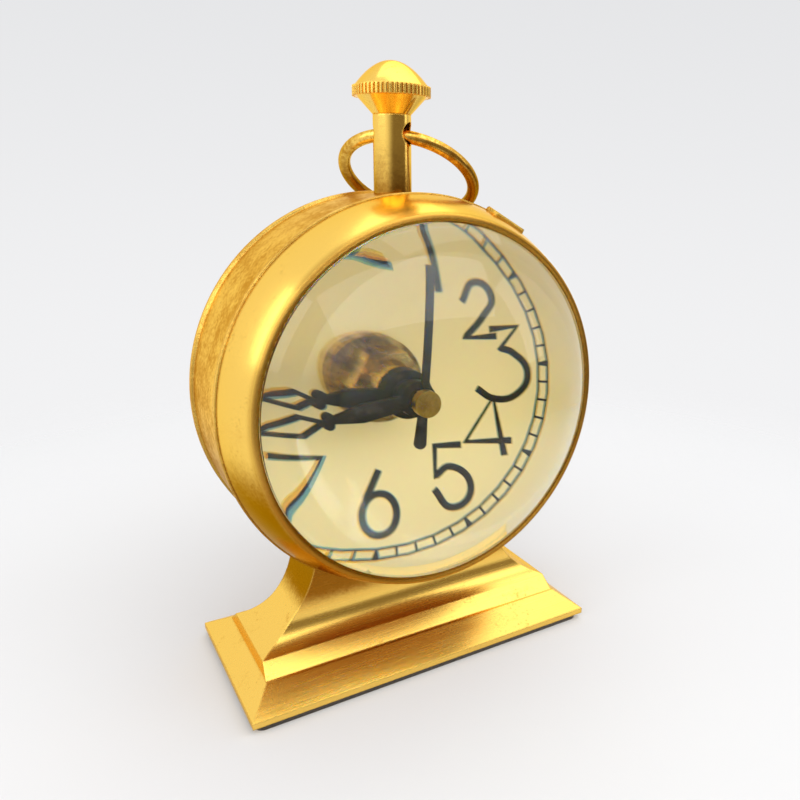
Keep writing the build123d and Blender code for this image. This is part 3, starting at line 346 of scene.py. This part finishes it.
figures = {
    "0": [pen_ring(0.0, 0.0, 2.4, 4.5)],
    "1": [pen_line((0.0, 4.8, STRAIGHT), (0.0, -4.8, STRAIGHT))],
    "2": [
        pen_line(
            (-2.3, 1.4, ROUND),
            (0.0, 4.1, ROUND),
            (2.3, 1.7, ROUND),
            (0.8, -0.9, ROUND),
            (-2.3, -4.0, STRAIGHT),
            (2.6, -4.1, STRAIGHT),
        )
    ],
    "3": [
        pen_line(
            (-1.4, 5.4, STRAIGHT),
            (2.9, 5.5, STRAIGHT),
            (0.1, 2.4, STRAIGHT),
            (1.9, 1.6, ROUND),
            (4.0, -1.8, ROUND),
            (1.9, -5.0, ROUND),
            (-1.4, -5.3, ROUND),
            (-4.0, -3.5, ROUND),
        )
    ],
    "4": [
        pen_line(
            (2.3, -4.5, STRAIGHT),
            (1.3, 4.5, STRAIGHT),
            (-3.5, -2.0, STRAIGHT),
            (3.6, -2.3, STRAIGHT),
        )
    ],
    "5": [
        pen_line(
            (1.8, 4.6, STRAIGHT),
            (-2.3, 4.7, STRAIGHT),
            (-2.5, 0.1, STRAIGHT),
            (-0.1, 1.4, ROUND),
            (2.8, -2.0, ROUND),
            (-0.2, -4.7, ROUND),
            (-2.8, -1.8, ROUND),
        )
    ],
    "6": [
        pen_line((0.1, 4.9, STRAIGHT), (-1.9, 0.6, STRAIGHT)),
        pen_ring(0.0, -1.7, 2.45, 3.05),
    ],
    "7": [pen_line((-2.5, 4.5, STRAIGHT), (2.6, 4.5, STRAIGHT), (-1.1, -4.7, STRAIGHT))],
    "8": [pen_ring(0.0, 2.3, 1.9, 2.1), pen_ring(0.0, -2.2, 2.5, 2.4)],
    "9": [
        pen_line((-0.1, -4.9, STRAIGHT), (1.9, -0.6, STRAIGHT)),
        pen_ring(0.0, 1.7, 2.45, 3.05),
    ],
}
number_circle = 19.6
number_half_width = 0.00053
figure_pitch = 4.6
ones_pitch = 3.6
nudges = {
    12: (1.0, -0.2),
    1: (1.9, -0.3),
    2: (0.3, -0.9),
    3: (0.6, 0.5),
    4: (0.4, 0.7),
    5: (1.6, 0.9),
    6: (0.4, 0.4),
    7: (0.2, 0.5),
}
number_strokes = []
for hour in range(1, 13):
    bearing = math.radians(hour * 30)
    word = str(hour)
    pitch = ones_pitch if word == "11" else figure_pitch
    nudge_x, nudge_z = nudges.get(hour, (0.0, 0.0))
    for spot, figure in enumerate(word):
        along = (spot - (len(word) - 1) / 2) * pitch
        shift_x = number_circle * math.sin(bearing) + along + nudge_x
        shift_z = number_circle * math.cos(bearing) + nudge_z
        for points, closed in figures[figure]:
            moved = [(x + shift_x, z + shift_z, kind, width) for x, z, kind, width in points]
            number_strokes.append((moved, closed))
printed("dial_numbers", number_strokes, number_half_width)

track_outer = 27.3
track_inner = 25.9
track_half_width = 0.00018
hour_flare = 3.0
track_strokes = [pen_ring(0.0, 0.0, size, size) for size in (track_outer, track_inner)]
for minute in range(60):
    bearing = math.radians(minute * 6)
    flare = hour_flare if minute % 5 == 0 else 1.0
    tick = [
        (track_outer * math.sin(bearing), track_outer * math.cos(bearing), STRAIGHT, flare),
        (track_inner * math.sin(bearing), track_inner * math.cos(bearing), STRAIGHT, 1.0),
    ]
    track_strokes.append((tick, False))
printed("minute_track", track_strokes, track_half_width)


# Lens: a thick convex glass magnifier, ground and polished, with a flange that the ring behind it
# presses against the bezel's lip. It bends blue light more than red, and lamps shine through it.
warm_tint = (1.67, 1.13, 0.29, 1.0)
warm_index = 1.514
cool_tint = (0.29, 0.85, 1.65, 1.0)
cool_index = 1.527
clear_tint = (0.957, 0.96, 0.945, 1.0)
glass = bpy.data.materials.new("magnifier_glass")
glass.use_nodes = True
glass.node_tree.nodes.clear()
shade = Shade(glass.node_tree)


def one_band(tint, index):
    """Glass for one half of the colours, at twice its share of the light."""
    return shade.node("BsdfGlass", {}, {"Color": tint, "Roughness": 0.0, "IOR": index})


warm_band = one_band(warm_tint, warm_index)
cool_band = one_band(cool_tint, cool_index)
clear = shade.node("MixShader", {}, {0: 0.5, 1: warm_band, 2: cool_band})
open_way = shade.node("BsdfTransparent", {}, {"Color": clear_tint})
from_dial = shade.node("LightPath", output="Is Diffuse Ray")
to_lamp = shade.node("LightPath", output="Is Shadow Ray")
sight = shade.node("MixShader", {}, {0: from_dial, 1: clear, 2: open_way})
both = shade.node("MixShader", {}, {0: to_lamp, 1: sight, 2: open_way})
shade.node("OutputMaterial", {}, {"Surface": both})
dress(glass, "lens")


# Bezel: a belled brass ring that carries the lens on a hinge. It is turned and polished by hand
# more often than the band. Painted shade makes it brown along its lip beside the glass, and darker
# towards the bottom.
bezel_brass = brass_finish(
    "bezel_brass",
    grain=(160.0, 1800.0, 160.0),
    cloud=40.0,
    rough=0.20,
    tarnish=0.02,
    unshaded_height=0.066,
    shaded_height=0.044,
    edge=turned_edge,
    lip=0.0398,
)
dress(bezel_brass, "bezel_ring", "hinge_bezel_leaf", "lens_ring")


# Stem, crown and bow: turned and bent brass, polished, with a knurled rim round the crown.
# The crown screws on a stud in the stem, and the bow swings in the stem's cross hole.
# Painted shade darkens the stem, crown and bow towards the bottom.
crown_brass = brass_finish(
    "crown_brass",
    grain=(700.0, 700.0, 2600.0),
    cloud=120.0,
    rough=0.15,
    tarnish=0.03,
    unshaded_height=0.128,
    shaded_height=0.098,
)
dress(crown_brass, "pendant_stem", "crown", "crown_stud")
bow_brass = brass_finish(
    "bow_brass",
    grain=(700.0, 700.0, 700.0),
    cloud=150.0,
    rough=0.14,
    tarnish=0.24,
    unshaded_height=0.126,
    shaded_height=0.104,
)
dress(bow_brass, "bow_ring")


# Hands: three thin steel blanks, two of them pierced, blackened and worn grey where they were
# handled. They are pushed one above the other on the hour wheel's pipe and the two arbors.
black, shade, shader, place = new_finish("blackened_steel")
blackened = (0.004, 0.004, 0.004, 1.0)
worn_grey = (0.09, 0.08, 0.07, 1.0)
smear_scale = 420.0
dust_scale = 2200.0
dust_height = 0.00005
hand_edge = 0.00025
smears = shade.noise(place, smear_scale, 5.0, 0.65)
dust = shade.noise(place, dust_scale, 3.0, 0.6)
soft_edge = shade.node("Bevel", {"samples": 4}, {"Radius": hand_edge})
worn = smears.step(0.48, 0.72)
shade.feed(
    shader,
    {
        "Base Color": (worn * 0.4).blend(blackened, worn_grey),
        "Specular IOR Level": 0.22,
        "Roughness": worn * 0.25 + 0.28,
        "Normal": dust.bump(0.25, dust_height, soft_edge),
    },
)
dress(black, "hour_hand", "minute_hand", "second_hand")


# Cap, arbors, bush, nut and washer: small brass turned on a lathe and never polished. The nut
# on the bush clamps the movement to the dial, and the cap turns with the second hand.
hands_z = drum_z - 0.001
turning_scale = 1400.0
turning_height = 0.00003
smudge_scale = 500.0


def turned_brass(name, light, dark, rough):
    """Brass with the lathe's rings round the hands' axis and smudges of oil."""
    material, shade, shader, place = new_finish(name)
    axis_place = shade.node("Mapping", {}, {"Vector": place, "Location": (0.0, 0.0, -hands_z)})
    turning = shade.node(
        "TexWave",
        {"wave_type": "RINGS", "rings_direction": "Y"},
        {"Vector": axis_place, "Scale": turning_scale, "Distortion": 1.5, "Detail": 2.0},
        output="Fac",
    )
    smudge = shade.noise(place, smudge_scale, 4.0, 0.6)
    shade.feed(
        shader,
        {
            "Base Color": smudge.step(0.35, 0.65).blend(dark, light),
            "Metallic": 1.0,
            "Roughness": smudge * 0.2 + rough,
            "Normal": turning.bump(0.15, turning_height),
        },
    )
    return material


fitting_brass = turned_brass(
    "fitting_brass",
    light=(0.86, 0.61, 0.20, 1.0),
    dark=(0.50, 0.32, 0.09, 1.0),
    rough=0.16,
)
dress(fitting_brass, "center_bush", "bush_nut", "minute_arbor", "second_arbor")
washer_brass = turned_brass(
    "washer_brass",
    light=(0.66, 0.46, 0.15, 1.0),
    dark=(0.22, 0.13, 0.035, 1.0),
    rough=0.20,
)
dress(washer_brass, "bush_washer")
cap_brass = turned_brass(
    "cap_brass",
    light=(0.50, 0.32, 0.055, 1.0),
    dark=(0.32, 0.19, 0.028, 1.0),
    rough=0.26,
)
dress(cap_brass, "hand_cap")


# Movement: a black moulded quartz movement with pale gears, a coil, a board and a plain cell.
# It is clamped to the back of the dial by its bush, and lies out of sight under the cover. The
# steel also makes the ring that the dial lies on, and the clock's screws.
drift_scale = 80.0
fine_height = 0.00005


def moulded(name, light, dark, rough, metal, fine_scale):
    """A moulded or rolled material with slight colour change and a fine surface."""
    material, shade, shader, place = new_finish(name)
    drift = shade.noise(place, drift_scale, 3.0, 0.5)
    fine = shade.noise(place, fine_scale, 4.0, 0.6)
    shade.feed(
        shader,
        {
            "Base Color": drift.step(0.3, 0.7).blend(dark, light),
            "Metallic": metal,
            "Roughness": fine * 0.2 + rough,
            "Normal": fine.bump(0.2, fine_height),
        },
    )
    return material


black_plastic = moulded(
    "black_plastic",
    light=(0.03, 0.03, 0.032, 1.0),
    dark=(0.018, 0.018, 0.02, 1.0),
    rough=0.4,
    metal=0.0,
    fine_scale=1600.0,
)
dress(black_plastic, "movement_front", "movement_back", "set_knob", "hour_wheel")
acetal = moulded(
    "acetal",
    light=(0.80, 0.78, 0.70, 1.0),
    dark=(0.74, 0.71, 0.62, 1.0),
    rough=0.35,
    metal=0.0,
    fine_scale=1200.0,
)
dress(acetal, "mid_plate", "minute_wheel", "centre_wheel", "third_wheel", "intermediate_wheel")
rubber = moulded(
    "rubber",
    light=(0.03, 0.03, 0.03, 1.0),
    dark=(0.02, 0.02, 0.02, 1.0),
    rough=0.6,
    metal=0.0,
    fine_scale=1900.0,
)
dress(rubber, "rubber_washer")
bright_steel = moulded(
    "bright_steel",
    light=(0.62, 0.61, 0.59, 1.0),
    dark=(0.48, 0.47, 0.45, 1.0),
    rough=0.25,
    metal=1.0,
    fine_scale=1500.0,
)
dress(bright_steel, "dial_ring", "dial_screws", "base_screws", "stem_screw", "movement_screws")
dress(bright_steel, "rotor", "stator", "contact_positive", "contact_negative", "quartz_can")
copper = moulded(
    "copper_winding",
    light=(0.80, 0.36, 0.16, 1.0),
    dark=(0.62, 0.24, 0.09, 1.0),
    rough=0.3,
    metal=0.9,
    fine_scale=5200.0,
)
dress(copper, "drive_coil")
green_board = moulded(
    "green_board",
    light=(0.06, 0.20, 0.07, 1.0),
    dark=(0.04, 0.14, 0.05, 1.0),
    rough=0.35,
    metal=0.0,
    fine_scale=1400.0,
)
dress(green_board, "circuit_board")
cell_sleeve = moulded(
    "cell_sleeve",
    light=(0.10, 0.11, 0.13, 1.0),
    dark=(0.07, 0.075, 0.09, 1.0),
    rough=0.3,
    metal=0.3,
    fine_scale=700.0,
)
dress(cell_sleeve, "battery_cell")


# Studio: a sheet of pale paper that fades into a pale background, soft panels at the left, above,
# in front and at the right, and the camera at the photograph's place.
floor_size = 6.0
paper_tone = (0.735, 0.737, 0.745, 1.0)
fade_start = 0.11
fade_end = 0.28
bpy.ops.mesh.primitive_plane_add(size=floor_size, location=(0.0, 0.0, 0.0))
floor = bpy.context.object
floor.name = "studio_floor"
paper, shade, shader, place = new_finish("studio_paper")
distance = shade.node("VectorMath", {"operation": "LENGTH"}, {0: place}, output="Value")
shade.feed(shader, {"Base Color": paper_tone, "Roughness": 0.9, "Specular IOR Level": 0.1})
lit = Shade(paper.node_tree, shader.outputs[0])
gone = shade.node("BsdfTransparent")
faded = shade.node("MixShader", {}, {0: distance.step(fade_start, fade_end), 1: lit, 2: gone})
shade.feed(paper.node_tree.nodes["Material Output"], {"Surface": faded})
floor.data.materials.append(paper)

low_backdrop = (0.89, 0.89, 0.90, 1.0)
high_backdrop = (0.76, 0.765, 0.78, 1.0)
dim_room = (0.20, 0.16, 0.11, 1.0)
bright_room = (0.98, 0.98, 0.98, 1.0)
rear_fill = (0.38, 0.38, 0.38, 1.0)
front_fill = (1.0, 1.0, 1.0, 1.0)
fill_strength = 1.42
world = bpy.data.worlds.new("studio")
bpy.context.scene.world = world
world.use_nodes = True
world.node_tree.nodes.clear()
shade = Shade(world.node_tree)
way = shade.node("TexCoord", output="Generated")
height = shade.node("SeparateXYZ", {}, {0: way}, output="Z")
depth = shade.node("SeparateXYZ", {}, {0: way}, output="Y")
side = shade.node("SeparateXYZ", {}, {0: way}, output="X")
seen = shade.node("LightPath", output="Is Camera Ray")
mirrored = shade.node("LightPath", output="Is Glossy Ray")
through = shade.node("LightPath", output="Is Transmission Ray")
pale = height.step(-0.30, 0.45).blend(low_backdrop, high_backdrop)
leftward = shade.math("MAXIMUM", side * -0.6, 0.0)
opening = (depth * 0.6 + height * 0.6 + leftward).step(-0.40, 0.30)
room = opening.blend(dim_room, bright_room)
backdrop = shade.node("Background", {}, {"Color": seen.blend(room, pale), "Strength": 1.0})
fill_tone = depth.step(0.2, -0.9).blend(rear_fill, front_fill)
fill = shade.node("Background", {}, {"Color": fill_tone, "Strength": fill_strength})
shown = seen + mirrored + through
sky = shade.node("MixShader", {}, {0: shown, 1: fill, 2: backdrop})
shade.node("OutputWorld", {}, {"Surface": sky})

lamp_aim = Vector((0.0, 0.0, 0.065))


def soft_panel(name, place, width, height, radiance):
    """A rectangular soft white light of even brightness that faces the clock."""
    bpy.ops.object.light_add(type="AREA", location=place)
    lamp = bpy.context.object
    lamp.name = name
    lamp.data.shape = "RECTANGLE"
    lamp.data.size = width
    lamp.data.size_y = height
    lamp.data.energy = radiance * math.pi * width * height
    lamp.rotation_mode = "QUATERNION"
    lamp.rotation_quaternion = (lamp_aim - Vector(place)).to_track_quat("-Z", "Y")


soft_panel("left_panel", place=(-0.80, 0.00, 0.50), width=0.8, height=0.6, radiance=1.5)
soft_panel("top_panel", place=(0.25, 0.15, 0.85), width=0.8, height=0.9, radiance=1.0)
soft_panel("front_panel", place=(0.05, -0.70, 0.88), width=1.8, height=0.6, radiance=1.3)
soft_panel("right_strip", place=(0.75, -0.35, 0.35), width=0.18, height=0.5, radiance=1.3)

camera_place = Vector((-0.072797, -0.154883, 0.107337))
yaw = math.radians(32.80)
pitch = math.radians(13.10)
roll = math.radians(1.04)
ahead = Vector((math.sin(yaw) * math.cos(pitch), math.cos(yaw) * math.cos(pitch), -math.sin(pitch)))
level = Vector((math.cos(yaw), -math.sin(yaw), 0.0))
rise = level.cross(ahead)
right = level * math.cos(roll) + rise * math.sin(roll)
up = rise * math.cos(roll) - level * math.sin(roll)
bpy.ops.object.camera_add(location=(0.0, 0.0, 0.0))
camera = bpy.context.object
camera.name = "photo_camera"
camera.matrix_world = Matrix(
    (
        (right.x, up.x, -ahead.x, camera_place.x),
        (right.y, up.y, -ahead.y, camera_place.y),
        (right.z, up.z, -ahead.z, camera_place.z),
        (0.0, 0.0, 0.0, 1.0),
    )
)
camera.data.sensor_width = 36.0
camera.data.lens = 34.10
camera.data.shift_x = -0.1171
camera.data.shift_y = -0.0467
camera.data.clip_start = 0.01
bpy.context.scene.camera = camera
bpy.context.scene.view_settings.view_transform = "Standard"
